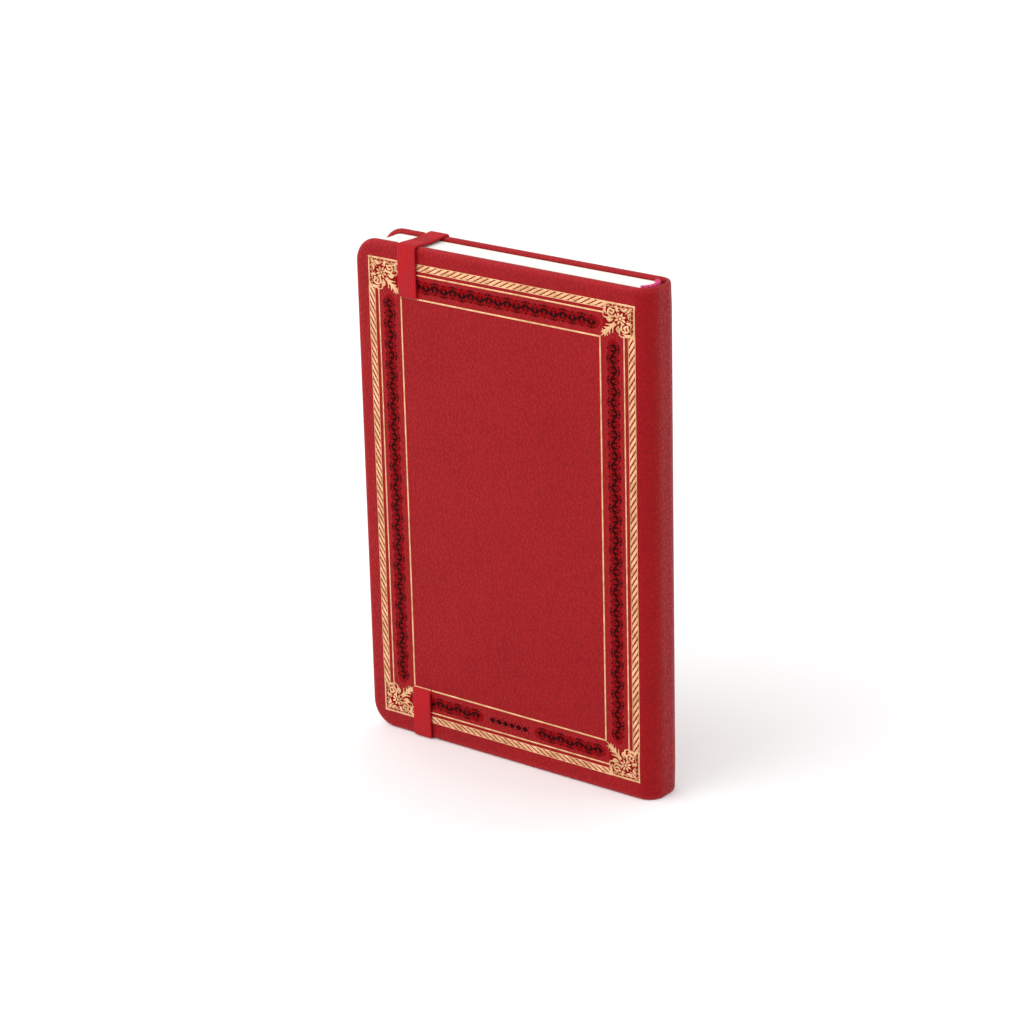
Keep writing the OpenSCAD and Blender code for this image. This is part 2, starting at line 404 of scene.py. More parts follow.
def new_group(name, inputs, outputs):
    """A shader node group with float or vector inputs, and its input and output nodes."""
    group = bpy.data.node_groups.new(name, "ShaderNodeTree")
    for label, kind, value in inputs:
        made = group.interface.new_socket(label, in_out="INPUT", socket_type=kind)
        if value is not None:
            made.default_value = value
    for label, kind in outputs:
        group.interface.new_socket(label, in_out="OUTPUT", socket_type=kind)
    return group, group.nodes.new("NodeGroupInput"), group.nodes.new("NodeGroupOutput")


def place_group(tree, group, **values):
    """Puts a node group into a material. Keyword names are its sockets' names in lower case."""
    node = tree.nodes.new("ShaderNodeGroup")
    node.node_tree = group
    for socket in node.inputs:
        value = values.get(socket.name.lower())
        if isinstance(value, bpy.types.NodeSocket):
            tree.links.new(value, socket)
        elif value is not None:
            socket.default_value = value
    return node


def grain_group():
    """Pebbled goatskin grain: Height for a bump and Valley, a mask of the creases between, for
    roughness and painted shade.
    """
    group, given, out = new_group(
        "goatskin_grain",
        [("Vector", "NodeSocketVector", None), ("Pebble", "NodeSocketFloat", 1.0)],
        [("Height", "NodeSocketFloat"), ("Valley", "NodeSocketFloat")])
    wobble = add(group, "ShaderNodeTexNoise",
                 {"Vector": given.outputs["Vector"], "Scale": 0.9, "Detail": 2.0})
    shifted = add(group, "ShaderNodeVectorMath",
                  {0: given.outputs["Vector"], 1: wobble.outputs["Color"]}, operation="ADD")
    heights = []
    for scale in (0.72, 1.7):
        size = math_node(group, "MULTIPLY", given.outputs["Pebble"], scale)
        cells = add(group, "ShaderNodeTexVoronoi", {"Vector": shifted.outputs[0], "Scale": size},
                    feature="DISTANCE_TO_EDGE")
        rise = add(group, "ShaderNodeMapRange", {"Value": cells.outputs["Distance"], "From Max": 0.26},
                   interpolation_type="SMOOTHSTEP")
        heights.append(rise.outputs["Result"])
    fine = noise_value(group, given.outputs["Vector"], 6.0, 4.0, 0.6)
    big = math_node(group, "MULTIPLY", heights[0], 0.5)
    small = math_node(group, "MULTIPLY", heights[1], 0.28)
    total = math_node(group, "ADD", big, small)
    total = math_node(group, "ADD", total, math_node(group, "MULTIPLY", fine, 0.22))
    valley = math_node(group, "MULTIPLY", math_node(group, "SUBTRACT", 0.62, total), 2.4, True)
    group.links.new(total, out.inputs["Height"])
    group.links.new(valley, out.inputs["Valley"])
    return group


GRAIN = grain_group()


def satin(shader, level):
    """A quiet, red-tinted shine, as waxed and dyed leather or dyed thread has."""
    shader.inputs["Specular IOR Level"].default_value = level
    shader.inputs["Specular Tint"].default_value = (1.0, 0.24, 0.26, 1)


def leather_material():
    """Red goatskin with a satin finish, paler where edges rub, and with painted shade that darkens the
    creases of the grain.
    """
    made, tree, shader = new_material("red_goatskin")
    point = rest_point(tree)
    grain = place_group(tree, GRAIN, vector=point, pebble=1.0)
    cloud = noise_value(tree, point, 0.045, 3.0, 0.55)
    mottle = noise_value(tree, point, 0.5, 4.0, 0.65)
    base = mix_colour(tree, cloud, (0.262, 0.0038, 0.0062, 1), (0.338, 0.0062, 0.0086, 1))
    dark = math_node(tree, "MULTIPLY", mottle, 0.28)
    base = mix_colour(tree, dark, base, (0.205, 0.0035, 0.006, 1))
    # painted shade: the colour is darkened in the creases of the grain, where shade falls
    valley = math_node(tree, "MULTIPLY", grain.outputs["Valley"], 0.34)
    base = mix_colour(tree, valley, base, (0.12, 0.002, 0.004, 1))
    wear = add(tree, "ShaderNodeAttribute", attribute_name="wear").outputs["Fac"]
    broken = math_node(tree, "MULTIPLY", noise_value(tree, point, 1.3, 5.0, 0.7), 1.5)
    rubbed = math_node(tree, "MULTIPLY", wear, math_node(tree, "SUBTRACT", broken, 0.25), True)
    base = mix_colour(tree, math_node(tree, "MULTIPLY", rubbed, 0.55), base, (0.50, 0.035, 0.04, 1))
    tree.links.new(base, shader.inputs["Base Color"])
    rough = math_node(tree, "ADD", 0.36, math_node(tree, "MULTIPLY", mottle, 0.12))
    roughen(tree, shader, rough, grain.outputs["Valley"], 0.16)
    satin(shader, 0.27)
    emboss(tree, shader, grain.outputs["Height"], 0.6, 0.00022)
    return made


LEATHER = leather_material()


def inset_at(x, z):
    """Distance of a point on a cover from the cover's edge."""
    down = np.minimum(z, book_h - z)
    along = x - fore_x
    inset = np.minimum(down, along)
    corner = (down < corner_r) & (along < corner_r)
    return np.where(corner, corner_r - np.hypot(corner_r - down, corner_r - along), inset)


def unevenness(x, z, seed):
    """Slight hollows and swellings of the leather over the board."""
    values = [noise.noise(Vector((a * 45, b * 45, seed))) for a, b in zip(x, z)]
    return np.array(values) * 0.045 * MM


def face_depth(x, z, seed):
    """Depth of the leather's surface below the cover's outermost plane."""
    inset = inset_at(x, z)
    quiet = ease(inset / (4 * MM)) * ease((joint_x - x) / (5 * MM))
    return CROWN * (1 - ease(inset / CROWN_W)) + (unevenness(x, z, seed) + 0.02 * MM) * quiet


def hide_stations():
    """(inset, depth, outerness) across the hide, from the turn-in's inner edge to the middle."""
    edge_r = cover_t / 2
    found = [(turn_in_w, cover_t - 0.3 * MM, 0), (turn_in_w - 0.05 * MM, cover_t, 0)]
    found += [(d * MM, cover_t, 0) for d in (8.0, 6.0, 4.5, 3.2, 2.2, 1.6)]
    for i in range(17):
        a = math.pi * (0.5 - i / 16)
        found.append((edge_r * (1 - math.cos(a)), edge_r * (1 + math.sin(a)), (1 - math.sin(a)) / 2))
    found += [(d * MM, 0, 1) for d in (1.5, 2.0, 2.6, 3.4, 4.4, 5.6)]
    found += [(d * MM, 0, 1) for d in np.arange(7.0, 69.0, 1.55)]
    return found + [(book_h / 2 - 0.4 * MM, 0, 1)]


def edge_wear(inset, depth):
    """How rubbed the leather is: most at the outer edge of a cover, and not inside it."""
    return math.exp(-(max(inset - 0.2 * MM, 0) / (1.1 * MM)) ** 2) if depth < cover_t else 0


def hide_half(name, side, seed):
    """Half of the hide: one cover, its joint and half the spine. side is -1 on the back cover."""
    stations = hide_stations()
    points, wear, rows = [], [], []
    for inset, depth, outer in stations:
        path = cover_path(inset)
        x, z = path[:, 0], path[:, 1]
        y = depth + outer * face_depth(x, z, seed)
        z = press_notches(x, z)
        rows.append(list(range(len(points), len(points) + len(x))))
        points += list(zip(x, side * (half_t - y), z))
        wear += [edge_wear(inset, depth)] * len(x)
    n = len(rows[0])
    faces = [(rows[j][i], rows[j][i + 1], rows[j + 1][i + 1], rows[j + 1][i])
             for j in range(len(rows) - 1) for i in range(n - 1)]
    last = rows[-1]
    faces += [(last[i], last[i + 1], last[n - 2 - i], last[n - 1 - i]) for i in range(n // 2)
              if i + 1 <= n - 2 - i]
    ring = [row[0] for row in rows] + [row[-1] for row in reversed(rows)]
    flat_y = half_t - spine_r
    turns = [(math.sin(a), -math.cos(a)) for a in np.linspace(0, math.pi / 2, 26)[1:]]
    plan = [(joint_x + spine_r * nx, spine_r * ny - flat_y, nx, ny) for nx, ny in turns]
    plan += [(spine_x, y, 1.0, 0.0) for y in np.linspace(-flat_y, 0, 6)[1:]]
    ends = [(s, s[0]) for s in stations] + [(s, book_h - s[0]) for s in reversed(stations)]
    for k, (x, y, nx, ny) in enumerate(plan):
        thin = 1 - 0.42 * ease((k + 1) / 14)
        new = []
        for (inset, depth, outer), z in ends:
            d = depth * thin + outer * CROWN * (1 - ease(inset / CROWN_W))
            new.append(len(points))
            points.append((x - nx * d, side * -(y - ny * d), z))
            wear.append(edge_wear(inset, depth))
        faces += [(ring[i], new[i], new[i + 1], ring[i + 1]) for i in range(len(new) - 1)]
        ring = new
    if side > 0:
        faces = [tuple(reversed(f)) for f in faces]
    return make_piece(name, points, faces, LEATHER, {"wear": wear}, sharp=50)


hide_back = hide_half("hide_back", -1, 1.7)
hide_front = hide_half("hide_front", 1, 6.3)
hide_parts("back_leather", "spine_leather")
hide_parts("front_leather")
for hide, cover in ((hide_back, "back_cover"), (hide_front, "front_cover")):
    side = -1 if cover == "back_cover" else 1
    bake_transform(hide)


# ---------------------------------------------------------------- Gold tooling
# Gold leaf pressed into the leather with heated brass tools: a rope roll, two thin fillets and
# a scrolled corner block at each corner. It is built as thin relief that follows the leather.

frame_x0 = fore_x + 4.4 * MM
frame_x1 = joint_x + 0.9 * MM
frame_z0 = 4.8 * MM
frame_z1 = book_h - 4.6 * MM
SPREAD = 1.13                # the border is wider along the fore edge and the spine
corner_l = 8.7               # size of a corner block, in millimetres
fillet_in = 9.65             # inset of the inner fillet from the outer edge of the border
LIFT = 0.06                  # height of the relief, in millimetres


class Relief:
    """Strokes and dots on a cover's face, in millimetres from fore edge and tail."""

    def __init__(self):
        self.points, self.faces = [], []

    def stroke(self, line, width, lift=LIFT):
        """A ribbon with a domed section along a line. width is a number or one per point."""
        line = np.array(line, float)
        n = len(line)
        width = np.broadcast_to(np.array(width, float), (n,))
        way = np.gradient(line, axis=0)
        way /= np.maximum(np.hypot(way[:, 0], way[:, 1]), 1e-9)[:, None]
        across = np.stack([-way[:, 1], way[:, 0]], 1)
        first = len(self.points)
        for part, height in ((-0.5, -0.03), (-0.34, 0.75 * lift), (0, lift),
                             (0.34, 0.75 * lift), (0.5, -0.03)):
            places = line + across * (width * part)[:, None]
            self.points += [(a, b, height) for a, b in places]
        for row in range(4):
            base = first + row * n
            self.faces += [(base + i, base + i + 1, base + n + i + 1, base + n + i)
                           for i in range(n - 1)]

    def dot(self, centre, r, lift=LIFT):
        """A small domed round."""
        first = len(self.points)
        self.points.append((centre[0], centre[1], lift))
        for share, height in ((0.7, 0.75 * lift), (1.0, -0.03)):
            for i in range(8):
                a = math.pi * i / 4
                self.points.append((centre[0] + r * share * math.cos(a),
                                    centre[1] + r * share * math.sin(a), height))
        for i in range(8):
            j = (i + 1) % 8
            self.faces.append((first, first + 1 + i, first + 1 + j))
            self.faces.append((first + 1 + i, first + 9 + i, first + 9 + j, first + 1 + j))


def curve(points, n=10):
    """A smooth line through a few points, by Catmull and Rom's rule."""
    p = [np.array(q, float) for q in points]
    p = [2 * p[0] - p[1]] + p + [2 * p[-1] - p[-2]]
    line = []
    for k in range(1, len(p) - 2):
        for t in np.linspace(0, 1, n, endpoint=(k == len(p) - 3)):
            line.append(0.5 * (2 * p[k] + (p[k + 1] - p[k - 1]) * t
                               + (2 * p[k - 1] - 5 * p[k] + 4 * p[k + 1] - p[k + 2]) * t ** 2
                               + (3 * p[k] - p[k - 1] - 3 * p[k + 1] + p[k + 2]) * t ** 3))
    return np.array(line)


def leaf_width(n, width, start=0.12):
    """Widths of a leaf that swells from a stalk and ends in a point."""
    t = np.linspace(0, 1, n)
    return width * np.maximum(np.sin(math.pi * t ** 0.8), start * (1 - t)) + 0.04


def scroll(centre, r, turns, start, spin, n=34):
    """A spiral that winds in to its centre."""
    t = np.linspace(0, 1, n)
    a = start + spin * 2 * math.pi * turns * t
    radius = r * (1 - 0.82 * t)
    return np.stack([centre[0] + radius * np.cos(a), centre[1] + radius * np.sin(a)], 1)


def straight(a, b, step=2.0):
    """A straight line with a point about every step."""
    n = max(2, int(math.hypot(b[0] - a[0], b[1] - a[1]) / step) + 1)
    return np.stack([np.linspace(a[0], b[0], n), np.linspace(a[1], b[1], n)], 1)


def border_sides():
    """Start, way along, way inwards, length and corner stretch of the border's four sides."""
    x0, x1, z0, z1 = (v * 1000 for v in (frame_x0, frame_x1, frame_z0, frame_z1))
    wide, high = x1 - x0, z1 - z0
    return {"tail": ((x0, z0), (1, 0), (0, 1), wide, SPREAD),
            "head": ((x0, z1), (1, 0), (0, -1), wide, SPREAD),
            "fore": ((x0, z0), (0, 1), (SPREAD, 0), high, 1),
            "spine": ((x1, z0), (0, 1), (-SPREAD, 0), high, 1)}


def on_side(side, line):
    """Moves a line given as (along, inwards) to its place on one side of the border."""
    start, along, inward = side[:3]
    line = np.array(line, float)
    return np.array(start) + line[:, :1] * np.array(along) + line[:, 1:] * np.array(inward)


def gold_border(relief):
    """The rope roll, its two edge lines and the fillet beside it, on all four sides."""
    rope_mid, rope_half, strand, gap = 0.98, 0.68, 3.7, 2.1
    for side in border_sides().values():
        length, corner = side[3], corner_l * side[4]
        count = int((length - 2 * corner) / gap)
        pitch = (length - 2 * corner) / count
        for i in range(count + 1):
            u = np.linspace(-1, 1, 9)
            s = corner + i * pitch + u * strand / 2
            t = rope_mid - rope_half * np.sin(u * math.pi / 2)
            relief.stroke(on_side(side, np.stack([s, t], 1)), 0.8 * np.cos(u * 1.25) + 0.05)
        for t, width in ((0.1, 0.2), (1.88, 0.2), (3.05, 0.44)):
            line = straight((corner - 0.5, t), (length - corner + 0.5, t))
            relief.stroke(on_side(side, line), width)
        reach = fillet_in * side[4] - 0.24
        relief.stroke(on_side(side, straight((reach, fillet_in), (length - reach, fillet_in))), 0.5)


def corner_block(relief, x, z, sx, sz):
    """A square of scrolls, leaves and pearls round a rosette, with a tip that points inwards."""
    def put(line, width):
        line = np.array(line, float)
        relief.stroke(np.stack([x + sx * line[:, 0], z + sz * line[:, 1]], 1), width)

    def both(line, width):
        line = np.array(line, float)
        put(line, width)
        put(line[:, ::-1], width)

    def leaf(line, width, start=0.12):
        put(line, leaf_width(len(line), width, start))

    def pearl(a, b, r):
        relief.dot((x + sx * a, z + sz * b), r)
        if a != b:
            relief.dot((x + sx * b, z + sz * a), r)

    both(straight((0.05, 0.28), (corner_l + 0.3, 0.28), 1.5), 0.56)
    both(curve([(1.1, 1.25), (3.2, 1.2), (5.6, 1.25), (8.5, 1.05)], 7), 0.2)
    both(curve([(8.75, 0.5), (8.35, 1.9), (8.8, 3.2), (8.3, 4.4)], 7), 0.3)
    rose = 4.05
    for i in range(8):
        a = math.pi * (i + 0.5) / 4
        tip = (rose + 1.72 * math.cos(a), rose + 1.72 * math.sin(a))
        root = (rose + 0.5 * math.cos(a), rose + 0.5 * math.sin(a))
        leaf(straight(root, tip, 0.2), 0.68)
    pearl(rose, rose, 0.46)
    both(scroll((6.45, 2.62), 1.32, 1.45, 2.9, -1), np.linspace(0.6, 0.32, 34))
    both(scroll((2.05, 6.6), 0.95, 1.2, 4.4, 1), np.linspace(0.52, 0.28, 34))
    leaf(straight((0.7, 0.7), (2.75, 2.75), 0.4), 0.62)
    leaves = [((1.0, 2.1), (1.75, 2.9), (1.5, 4.1)), ((2.4, 4.9), (1.3, 5.0), (0.9, 5.7)),
              ((5.9, 4.4), (7.1, 4.9), (7.9, 4.3)), ((5.5, 5.0), (6.3, 6.0), (7.9, 6.0)),
              ((6.3, 6.5), (7.3, 7.0), (8.6, 6.9)), ((7.2, 7.5), (8.0, 8.4), (8.3, 9.4)),
              ((3.4, 6.2), (4.3, 7.2), (4.1, 8.6)), ((1.1, 7.9), (2.3, 8.3), (3.2, 7.7))]
    for points in leaves:
        line = curve(points, 6)
        both(line, leaf_width(len(line), 0.88))
    leaf(straight((5.6, 5.6), (9.5, 9.5), 0.4), 0.95, 0.4)
    for a in np.arange(1.5, 8.4, 1.15):
        pearl(a, 0.78, 0.2)
    for a, b, r in ((2.9, 1.95, 0.24), (4.4, 2.0, 0.22), (7.9, 3.3, 0.2), (4.9, 6.9, 0.24),
                    (6.1, 7.9, 0.22), (3.0, 8.6, 0.18), (7.6, 8.9, 0.2), (5.2, 1.9, 0.18)):
        pearl(a, b, r)


def gold_material():
    """Gold leaf with a soft shine, thin in places so that the red leather shows through."""
    made, tree, shader = new_material("gold_leaf")
    point = rest_point(tree)
    speck = noise_value(tree, point, 3.2, 5.0, 0.7)
    thin = math_node(tree, "MULTIPLY", math_node(tree, "SUBTRACT", speck, 0.56), 7.0, True)
    tone = math_node(tree, "SUBTRACT", noise_value(tree, point, 0.4, 3.0, 0.6), 0.3)
    gold = mix_colour(tree, math_node(tree, "MULTIPLY", tone, 2.4, True),
                      (0.50, 0.29, 0.12, 1), (0.92, 0.57, 0.32, 1))
    gold = mix_colour(tree, math_node(tree, "MULTIPLY", thin, 0.7), gold, (0.36, 0.035, 0.025, 1))
    tree.links.new(gold, shader.inputs["Base Color"])
    metal = math_node(tree, "SUBTRACT", 0.62, math_node(tree, "MULTIPLY", thin, 0.5))
    tree.links.new(metal, shader.inputs["Metallic"])
    roughen(tree, shader, 0.3, speck, 0.25)
    grain = place_group(tree, GRAIN, vector=point, pebble=1.0)
    emboss(tree, shader, grain.outputs["Height"], 0.3, 0.00012)
    return made


def lay_tooling(name, relief, cover, material):
    """Lays flat relief on the leather of one cover."""
    side, seed = (-1, 1.7) if cover == "back_cover" else (1, 6.3)
    flat = np.array(relief.points) * MM
    past = np.clip(flat[:, 0] - joint_x, 0, spine_r)
    drop = spine_r - np.sqrt(spine_r ** 2 - past ** 2)
    y = side * (half_t - face_depth(flat[:, 0], flat[:, 1], seed) - drop + flat[:, 2])
    points = np.stack([flat[:, 0], y, flat[:, 1]], 1)
    piece = make_piece(name, points, relief.faces, material)
    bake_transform(piece)


GOLD = gold_material()
gold = Relief()
gold_border(gold)
for x, sx in ((frame_x0 * 1000, SPREAD), (frame_x1 * 1000, -SPREAD)):
    for z, sz in ((frame_z0 * 1000, 1), (frame_z1 * 1000, -1)):
        corner_block(gold, x, z, sx, sz)
for cover in ("back_cover", "front_cover"):
    lay_tooling(cover + "_gold_tooling", gold, cover, GOLD)


# ---------------------------------------------------------------- Blind tooling
# Between the two fillets runs a band pressed with a hot roll and no gold, which scorches the
# leather to a dark burgundy: a scalloped ground with a winding stem, leaves and dots.

band_mid, band_half = 6.1, 2.25      # inset of the band's middle and half its width
band_start = 9.6                     # how far from the corners it ends
lozenge_room = 8.5                   # half the gap for the lozenges


def scalloped_ground(relief, side, s0, s1):
    """A strip with scalloped edges and round ends."""
    s = np.arange(s0, s1 + 0.01, 0.2)
    ends = np.minimum(s - s0, s1 - s)
    round_off = np.sqrt(np.clip(1 - (1 - np.clip(ends / band_half, 0, 1)) ** 2, 0.01, 1))
    width = 2 * round_off * (band_half - 0.3 + 0.3 * np.abs(np.sin(math.pi * (s - s0) / 1.5)))
    relief.stroke(on_side(side, np.stack([s, np.full_like(s, band_mid)], 1)), width, 0.022)


def stem_and_leaves(relief, side, s0, s1):
    """A winding stem with a pair of leaves and three dots in each bend."""
    bends = max(2, round((s1 - s0 - 2.4) / 2.9))
    step = (s1 - s0 - 2.4) / bends
    s = np.linspace(s0 + 1.2, s1 - 1.2, bends * 10 + 1)
    t = band_mid + 0.78 * np.sin(math.pi * (s - s0 - 1.2) / step)
    relief.stroke(on_side(side, np.stack([s, t], 1)), 0.62, 0.09)
    for i in range(bends):
        middle = s0 + 1.2 + (i + 0.5) * step
        way = 1 if i % 2 == 0 else -1
        for lean in (-1, 1):
            line = curve([(middle + lean * 0.2, band_mid + way * 0.55),
                          (middle + lean * 0.75, band_mid - way * 0.1),
                          (middle + lean * 0.62, band_mid - way * 1.05)], 5)
            relief.stroke(on_side(side, line), leaf_width(len(line), 0.86), 0.09)
        for a, b, r in ((0, -0.55, 0.3), (-0.95, 1.4, 0.3), (0.95, 1.4, 0.3), (0, 1.5, 0.42),
                        (0, -1.45, 0.34), (-0.55, 1.75, 0.2), (0.55, 1.75, 0.2)):
            place = on_side(side, [(middle + a, band_mid + way * b)])[0]
            relief.dot(place, r, 0.085)


def lozenges(relief, side, middle, count):
    """A short row of pressed lozenges."""
    for i in range(count):
        s = middle + (i - (count - 1) / 2) * 2.2
        line = on_side(side, straight((s - 0.95, band_mid), (s + 0.95, band_mid), 0.2))
        relief.stroke(line, 2.05 - 1.75 * np.abs(np.linspace(-1, 1, len(line))), 0.06)
        for way in (-1, 1):
            relief.dot(on_side(side, [(s + 1.1, band_mid + way * 0.8)])[0], 0.26, 0.06)


def blind_material(name, deep, pale, rough_low):
    """Leather darkened by a hot tool: smoother and glossier than the hide round it."""
    made, tree, shader = new_material(name)
    point = rest_point(tree)
    tone = noise_value(tree, point, 1.1, 4.0, 0.65)
    tree.links.new(mix_colour(tree, tone, deep, pale), shader.inputs["Base Color"])
    roughen(tree, shader, rough_low, tone, 0.2)
    satin(shader, 0.07)
    grain = place_group(tree, GRAIN, vector=point, pebble=1.4)
    emboss(tree, shader, grain.outputs["Height"], 0.25, 0.0001)
    return made


SCORCHED = blind_material("scorched_ground", (0.16, 0.0016, 0.0028, 1), (0.28, 0.0034, 0.0052, 1),
                          0.45)
BURNT = blind_material("burnt_pattern", (0.012, 0.0003, 0.0006, 1), (0.036, 0.0006, 0.0012, 1),
                       0.42)
ground, pattern = Relief(), Relief()
corner_w = corner_l * SPREAD
for x in (frame_x0 * 1000, frame_x1 * 1000 - corner_w):
    for z in (frame_z0 * 1000, frame_z1 * 1000 - corner_l):
        middle = z + corner_l / 2
        ground.stroke(straight((x, middle), (x + corner_w, middle), 0.5), corner_l, 0.02)
for place, side in border_sides().items():
    start, end = band_start * side[4], side[3] - band_start * side[4]
    if place == "tail":
        middle = side[3] / 2
        runs = [(start, middle - lozenge_room), (middle + lozenge_room, end)]
        lozenges(pattern, side, middle, 6)
    else:
        runs = [(start, end)]
    for s0, s1 in runs:
        scalloped_ground(ground, side, s0, s1)
        stem_and_leaves(pattern, side, s0, s1)
for cover in ("back_cover", "front_cover"):
    lay_tooling(cover + "_scorched_band", ground, cover, SCORCHED)
    lay_tooling(cover + "_burnt_pattern", pattern, cover, BURNT)


# ---------------------------------------------------------------- Elastic closure
# One flat woven elastic, 6 mm wide with raised ribs, glued inside the back cover. It comes out
# of the two slits, bends over the head and tail edges and holds the front cover shut.

elastic_mid_x = (elastic_low.x + elastic_high.x) / 2
elastic_w = elastic_high.x - elastic_low.x
slit_in = 14.2 * MM


def elastic_route():
    """Centre line in Y and Z from the head slit round the book to the tail slit."""
    out = half_t + elastic_t / 2
    top = elastic_high.z - elastic_t / 2
    low = elastic_low.z + elastic_t / 2
    bend = 0.75 * MM
    line = [(-half_t + 1.3 * MM, book_h - slit_in - 0.1 * MM), (-half_t + 0.3 * MM, book_h - slit_in)]
    line += [(-out - 0.02 * MM, book_h - slit_in + 0.8 * MM)]
    line += [(-out, z) for z in np.linspace(book_h - slit_in + 1.8 * MM, top - bend, 16)]

    def turn(cy, cz, start):
        return [(cy + bend * math.cos(a), cz + bend * math.sin(a))
                for a in np.linspace(start, start - math.pi / 2, 8)[1:-1]]

    def crossing(z, sign, dip):
        span = out - bend
        return [(sign * y, z - dip * math.cos(math.pi / 2 * y / span) ** 2)
                for y in np.linspace(-span, span, 22)]
    line += turn(-out + bend, top - bend, math.pi) + crossing(top, 1, 0.28 * MM)
    line += turn(out - bend, top - bend, math.pi / 2)
    line += [(out + 0.03 * MM * math.sin(z * 90), z) for z in np.linspace(top - bend, low + bend, 120)]
    line += turn(out - bend, low + bend, 0) + crossing(low, -1, 0)
    line += turn(-out + bend, low + bend, -math.pi / 2)
    line += [(-out, z) for z in np.linspace(low + bend, slit_in - 1.8 * MM, 16)]
    line += [(-out - 0.02 * MM, slit_in - 0.8 * MM), (-half_t + 0.3 * MM, slit_in),
             (-half_t + 1.3 * MM, slit_in + 0.1 * MM)]
    return np.array(line)


def elastic_section():
    """Cross-section across the width: ribs on both faces and rounded selvedges."""
    half, ribs = elastic_w / 2, 8
    a = np.linspace(-1, 1, ribs * 6 + 1)
    edge = np.sqrt(np.clip(1 - np.abs(a) ** 14, 0, 1))
    face = (0.36 + 0.10 * np.abs(np.sin(a * math.pi * ribs / 2))) * MM * edge
    upper = [(s * half, h) for s, h in zip(a, face)]
    return np.array(upper + [(s * half, -h) for s, h in zip(a[-2:0:-1], face[-2:0:-1])])


def elastic_material():
    """Woven red elastic: ribs lengthways, fine weft across, a soft fibre sheen."""
    made, tree, shader = new_material("woven_elastic")
    point = rest_point(tree)
    split = add(tree, "ShaderNodeSeparateXYZ", {0: point})
    weft = add(tree, "ShaderNodeTexWave", {"Vector": point, "Scale": 0.85, "Distortion": 0.8,
                                           "Detail": 2.0}, wave_type="BANDS", bands_direction="Z")
    rib = math_node(tree, "SINE", math_node(tree, "MULTIPLY", split.outputs["X"], 8.4))
    rib = math_node(tree, "MULTIPLY", math_node(tree, "ADD", rib, 1.0), 0.5)
    fuzz = noise_value(tree, point, 5.0, 3.0, 0.7)
    tone = math_node(tree, "ADD", math_node(tree, "MULTIPLY", weft.outputs["Fac"], 0.4),
                     math_node(tree, "MULTIPLY", rib, 0.6))
    colour = mix_colour(tree, tone, (0.17, 0.003, 0.006, 1), (0.50, 0.013, 0.019, 1))
    colour = mix_colour(tree, math_node(tree, "MULTIPLY", fuzz, 0.3), colour, (0.56, 0.03, 0.035, 1))
    tree.links.new(colour, shader.inputs["Base Color"])
    roughen(tree, shader, 0.6, fuzz, 0.25)
    satin(shader, 0.3)
    height = math_node(tree, "ADD", tone, math_node(tree, "MULTIPLY", fuzz, 0.4))
    emboss(tree, shader, height, 0.5, 0.0001)
    return made


def tube_along(route, section, width_axis):
    """Sweeps a closed section along a route in the YZ plane. width_axis is the X of its middle."""
    way = np.gradient(route, axis=0)
    way /= np.hypot(way[:, 0], way[:, 1])[:, None]
    out = np.stack([-way[:, 1], way[:, 0]], 1)
    n, m = len(route), len(section)
    points = [(width_axis + sx, p[0] + o[0] * h, p[1] + o[1] * h)
              for p, o in zip(route, out) for sx, h in section]
    faces = [(i * m + j, i * m + (j + 1) % m, (i + 1) * m + (j + 1) % m, (i + 1) * m + j)
             for i in range(n - 1) for j in range(m)]
    faces += [tuple(range(m - 1, -1, -1)), tuple(range((n - 1) * m, n * m))]
    return points, faces


points, faces = tube_along(elastic_route(), elastic_section(), elastic_mid_x)
elastic = make_piece("elastic_band", points, faces, elastic_material(), sharp=70)
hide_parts("elastic_end_top", "elastic_end_bottom", "elastic_loop")
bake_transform(elastic)


def slit_lips(name, z):
    """The cut edges of a slit in the leather, pushed up a little round the elastic."""
    half_w, half_h, r = elastic_w / 2 + 0.25 * MM, 0.75 * MM, 0.16 * MM
    loop = []
    for a in np.linspace(0, 2 * math.pi, 48, endpoint=False):
        c, s = math.cos(a), math.sin(a)
        flat = math.copysign(abs(c) ** 0.25, c)
        loop.append((elastic_mid_x + half_w * flat, z + half_h * math.copysign(abs(s) ** 0.7, s)))
    points, faces, m = [], [], 8
    for i, (x, zz) in enumerate(loop):
        nx, nz = x - elastic_mid_x, (zz - z) * 3
        size = math.hypot(nx, nz)
        for k in range(m):
            b = 2 * math.pi * k / m
            points.append((x + nx / size * r * math.cos(b), -half_t + 0.02 * MM - r * 0.8 * math.sin(b),
                           zz + nz / size * r * math.cos(b)))
        j = (i + 1) % len(loop)
        faces += [(i * m + k, j * m + k, j * m + (k + 1) % m, i * m + (k + 1) % m) for k in range(m)]
    lips = make_piece(name, points, faces, LEATHER, {"wear": [0.35] * len(points)})
    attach(lips, "back_cover")


slit_lips("slit_lips_head", book_h - slit_in + 0.15 * MM)
slit_lips("slit_lips_tail", slit_in - 0.15 * MM)


# ---------------------------------------------------------------- Endpapers
# A heavier folded sheet at each end of the book. One leaf is pasted to the board over the
# turn-ins and crosses the joint, and the other is the free flyleaf.

ENDPAPER = paper_material("endpaper", (0.86, 0.80, 0.68, 1), (0.74, 0.66, 0.52, 1), 1.2)
flyleaf_t = 0.15 * MM
paste_in = 4.0 * MM
paste_over, paste_under = 0.13 * MM, -0.02 * MM      # the two faces, above the turn-ins
turn_in_step = 0.24 * MM


def flyleaf(body):
    """The free leaf of an endpaper."""
    turn = joint[body + "_turn"]["pos_m"]
    points, faces = [], []
    add_leaf(points, faces, turn[1], flyleaf_t, turn[0] + 2.0 * MM, 0.0)
    leaf = make_piece(body + "_sheet", points, faces, ENDPAPER, sharp=30)
    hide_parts(body)
    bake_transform(leaf)


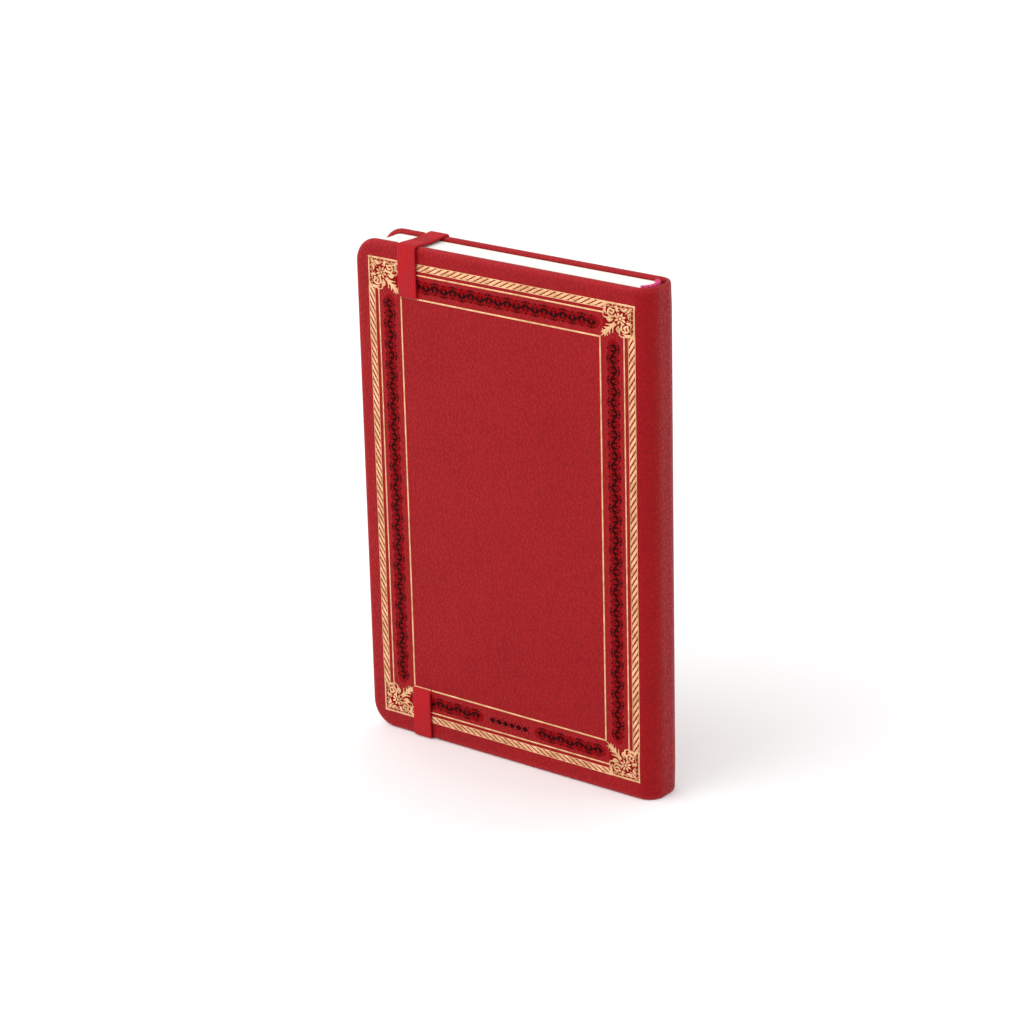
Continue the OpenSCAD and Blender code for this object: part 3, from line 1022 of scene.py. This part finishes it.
def pastedown(cover, side):
    """The pasted leaf shows the step of the turn-ins beneath it and ends on the text block."""
    inner = half_t - cover_t
    x_end = joint_x + 0.4 * MM
    r = 4.0 * MM
    xs = [fore_x + paste_in + r * (1 - math.cos(a)) for a in np.linspace(0, math.pi / 2, 9)]
    bend_x = joint_x - 3 * MM
    xs += list(np.linspace(xs[-1], bend_x, 40)[1:]) + list(np.linspace(bend_x, x_end, 14)[1:])
    rows_n = 64
    points, faces = [], []
    for layer in (paste_over, paste_under):
        for x in xs:
            off = x - fore_x - paste_in
            cut = r - math.sqrt(max(r ** 2 - max(r - off, 0) ** 2, 0))
            for k in range(rows_n + 1):
                u = k / rows_n
                u = 0.5 - 0.5 * math.cos(math.pi * u)
                z = paste_in + cut + (book_h - 2 * (paste_in + cut)) * u
                inset = min(z, book_h - z, x - fore_x)
                sink = turn_in_step * float(ease((inset - turn_in_w + 0.4 * MM) / (1.4 * MM)))
                points.append((x, side * (inner + sink - layer), z))
    cols, per = len(xs), rows_n + 1
    half = cols * per
    for i in range(cols - 1):
        for k in range(rows_n):
            a = i * per + k
            faces.append((a, a + 1, a + per + 1, a + per))
            faces.append((half + a, half + a + per, half + a + per + 1, half + a + 1))
    rim = [i * per for i in range(cols)] + [(cols - 1) * per + k for k in range(1, per)]
    rim += [i * per + rows_n for i in range(cols - 2, -1, -1)] + list(range(rows_n - 1, 0, -1))
    for a, b in zip(rim, rim[1:] + rim[:1]):
        faces.append((a, b, half + b, half + a))
    if side < 0:
        faces = [tuple(reversed(f)) for f in faces]
    name = cover.replace("_cover", "_pastedown")
    sheet = make_piece(name + "_sheet", points, faces, ENDPAPER, sharp=40)
    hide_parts(name)
    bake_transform(sheet)


for place, side in (("back", -1), ("front", 1)):
    flyleaf(place + "_flyleaf")
    pastedown(place + "_cover", side)


# ---------------------------------------------------------------- Floor, light and camera
# A plain pale floor, even light all round with a wide soft lamp at the upper left, and a
# camera that looks down at the back cover and the spine, about 37 degrees round and 20 up.

def stage_floor():
    """A wide floor in a pale, nearly white grey."""
    made, tree, shader = new_material("pale_floor")
    point = add(tree, "ShaderNodeTexCoord").outputs["Object"]
    tone = noise_value(tree, point, 3.0, 2.0)
    tree.links.new(mix_colour(tree, tone, (0.93, 0.93, 0.935, 1), (0.95, 0.95, 0.95, 1)),
                   shader.inputs["Base Color"])
    shader.inputs["Roughness"].default_value = 0.7
    half = 6.0
    corners = [(-half, -half, 0), (half, -half, 0), (half, half, 0), (-half, half, 0)]
    floor = make_piece("floor", corners, [(0, 1, 2, 3)], made)


def soft_light(name, place, aim, size, power):
    """A white rectangular lamp, turned towards a point."""
    light = bpy.data.lights.new(name, "AREA")
    light.shape = "RECTANGLE"
    light.size, light.size_y = size
    light.energy = power
    lamp = bpy.data.objects.new(name, light)
    lamp.location = place
    lamp.rotation_euler = (Vector(aim) - Vector(place)).to_track_quat("-Z", "Y").to_euler()
    bpy.context.scene.collection.objects.link(lamp)


stage_floor()
soft_light("key", (-0.6, -0.8, 0.9), (0, 0, 0.07), (1.4, 1.1), 9)

world = bpy.data.worlds.new("studio")
world.use_nodes = True
world.node_tree.nodes["Background"].inputs["Color"].default_value = (1.0, 1.0, 1.0, 1)
world.node_tree.nodes["Background"].inputs["Strength"].default_value = 1.04
bpy.context.scene.world = world
bpy.context.scene.view_settings.view_transform = "Standard"

camera_data = bpy.data.cameras.new("camera")
camera_data.lens = 118.9
camera_data.sensor_width = 36
camera_data.clip_end = 30
camera = bpy.data.objects.new("camera", camera_data)
camera.location = (0.51204, -0.66414, 0.3805)
camera.rotation_euler = [math.radians(a) for a in (69.67, 1.34, 37.26)]
bpy.context.scene.collection.objects.link(camera)
bpy.context.scene.camera = camera
